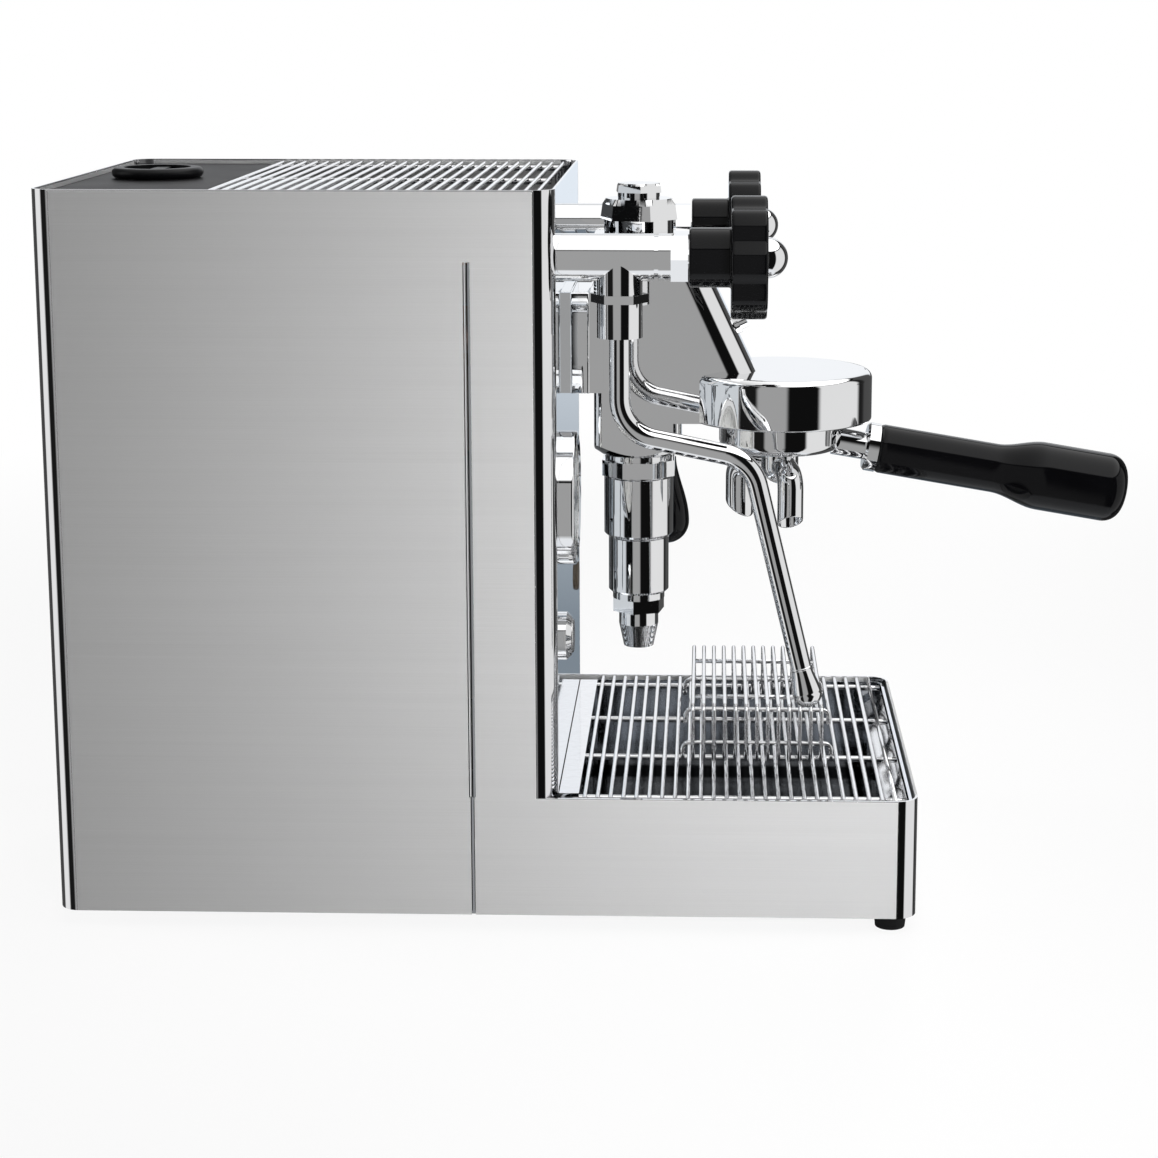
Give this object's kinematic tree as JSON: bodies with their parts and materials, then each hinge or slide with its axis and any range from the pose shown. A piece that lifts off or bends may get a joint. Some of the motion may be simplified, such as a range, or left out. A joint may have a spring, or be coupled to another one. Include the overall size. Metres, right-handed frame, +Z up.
{
  "type": "espresso machine",
  "caption": "Lever espresso machine: polished steel case with drip tray, chromed brew group, portafilter, steam and water taps, a gauge and a lift-out tank.",
  "frame": {"origin": "centre of the bounding box in plan, at the underside of the feet", "axes": "+Z up, -Y towards the user at the front, +X to the right seen from the front"},
  "size_m": [0.228, 0.5261, 0.358],
  "materials": {
    "brushed_steel": "fine horizontal brushing",
    "mirror_steel": "mirror polished",
    "plain_steel": "satin",
    "wire_steel": "polished wire",
    "chrome": "bright chrome plate",
    "basket_steel": "satin",
    "black_gloss": "polished moulding",
    "dark_plastic": "fine matt",
    "rubber": "matt",
    "tank_plastic": "clear moulding",
    "dial_white": "printed face",
    "needle_black": "matt paint",
    "lens_glass": "clear",
    "button_steel": "satin",
    "lamp_amber": "translucent lens",
    "copper": "bare copper"
  },
  "bodies": {
    "housing": {"base_pan": "plain_steel", "left_side_panel": "brushed_steel", "right_side_panel": "brushed_steel", "base_front_plate": "brushed_steel", "back_panel": "brushed_steel", "front_panel": "mirror_steel", "top_tray": "plain_steel", "feet": "rubber", "tank_dock": "plain_steel", "mains_inlet": "dark_plastic", "group_body": "chrome", "group_top_nut": "chrome", "top_cap": "chrome", "chamber_nut": "chrome", "chamber_upper": "chrome", "chamber_lower": "chrome", "drain_nozzle": "chrome", "bleed_screw": "chrome", "group_gasket": "rubber", "shower_screen": "basket_steel", "steam_valve_body": "chrome", "water_valve_body": "chrome", "wand_nuts": "chrome", "gauge_case": "dark_plastic", "gauge_dial": "dial_white", "gauge_bezel": "chrome", "gauge_lens": "lens_glass", "button_bezel": "chrome", "indicator_lamp": "lamp_amber", "boiler": "copper", "boiler_stands": "plain_steel", "heating_element": "copper", "pump": "dark_plastic", "control_box": "dark_plastic", "pipework": "copper"},
    "tank_unit": {"water_tank": "tank_plastic"},
    "lid_unit": {"tank_lid": "dark_plastic"},
    "rack_unit": {"cup_grid": "wire_steel"},
    "tray_unit": {"drip_tray": "plain_steel"},
    "grid_unit": {"drip_grid": "wire_steel"},
    "riser_unit": {"cup_riser": "wire_steel"},
    "lever_unit": {"lever_shaft": "chrome", "lever_knob": "black_gloss"},
    "portafilter_unit": {"portafilter_body": "chrome", "filter_basket": "basket_steel", "spout": "chrome", "portafilter_ferrule": "chrome", "portafilter_handle": "black_gloss"},
    "steam_tap_unit": {"steam_spindle": "chrome", "steam_knob": "black_gloss"},
    "water_tap_unit": {"water_spindle": "chrome", "water_knob": "black_gloss"},
    "steam_wand_unit": {"steam_wand": "chrome", "steam_tip": "chrome"},
    "water_wand_unit": {"water_wand": "chrome", "water_tip": "chrome"},
    "needle_unit": {"gauge_needle": "needle_black"},
    "button_unit": {"power_button": "button_steel"}
  },
  "joints": [
    {"name": "tank_lift", "type": "slide", "parent": "housing", "child": "tank_unit", "axis": [0, 0, 1], "range_m": [0, 0.295]},
    {"name": "lid_lift", "type": "slide", "parent": "tank_unit", "child": "lid_unit", "axis": [0, 0, 1], "range_m": [0, 0.06]},
    {"name": "rack_lift", "type": "slide", "parent": "housing", "child": "rack_unit", "axis": [0, 0, 1], "range_m": [0, 0.05]},
    {"name": "tray_lift", "type": "slide", "parent": "housing", "child": "tray_unit", "axis": [0, 0, 1], "range_m": [0, 0.022]},
    {"name": "grid_lift", "type": "slide", "parent": "tray_unit", "child": "grid_unit", "axis": [0, 0, 1], "range_m": [0, 0.02]},
    {"name": "riser_lift", "type": "slide", "parent": "grid_unit", "child": "riser_unit", "axis": [0, 0, 1], "range_m": [0, 0.03]},
    {"name": "lever_turn", "type": "hinge", "parent": "housing", "child": "lever_unit", "pos_m": [0.062, -0.028, 0.24], "axis": [-1, 0, 0], "range_deg": [0, 80]},
    {"name": "portafilter_turn", "type": "hinge", "parent": "housing", "child": "portafilter_unit", "pos_m": [0, -0.0865, 0.225], "axis": [0, 0, 1], "range_deg": [-50, 0]},
    {"name": "steam_tap_turn", "type": "hinge", "parent": "housing", "child": "steam_tap_unit", "pos_m": [-0.085, -0.06, 0.322], "axis": [0, -1, 0], "range_deg": [0, 540]},
    {"name": "water_tap_turn", "type": "hinge", "parent": "housing", "child": "water_tap_unit", "pos_m": [0.085, -0.06, 0.322], "axis": [0, -1, 0], "range_deg": [0, 540]},
    {"name": "steam_wand_swing", "type": "hinge", "parent": "housing", "child": "steam_wand_unit", "pos_m": [-0.085, -0.0082, 0.29], "axis": [0, 0, -1], "range_deg": [-12, 80]},
    {"name": "water_wand_swing", "type": "hinge", "parent": "housing", "child": "water_wand_unit", "pos_m": [0.085, -0.0082, 0.29], "axis": [0, 0, 1], "range_deg": [-30, 80]},
    {"name": "gauge_needle_turn", "type": "hinge", "parent": "housing", "child": "needle_unit", "pos_m": [-0.064, 0.017, 0.203], "axis": [0, 1, 0], "range_deg": [0, 270]},
    {"name": "button_press", "type": "slide", "parent": "housing", "child": "button_unit", "axis": [0, 1, 0], "range_m": [0, 0.0025], "stiffness_N_per_m": 600}
  ]
}
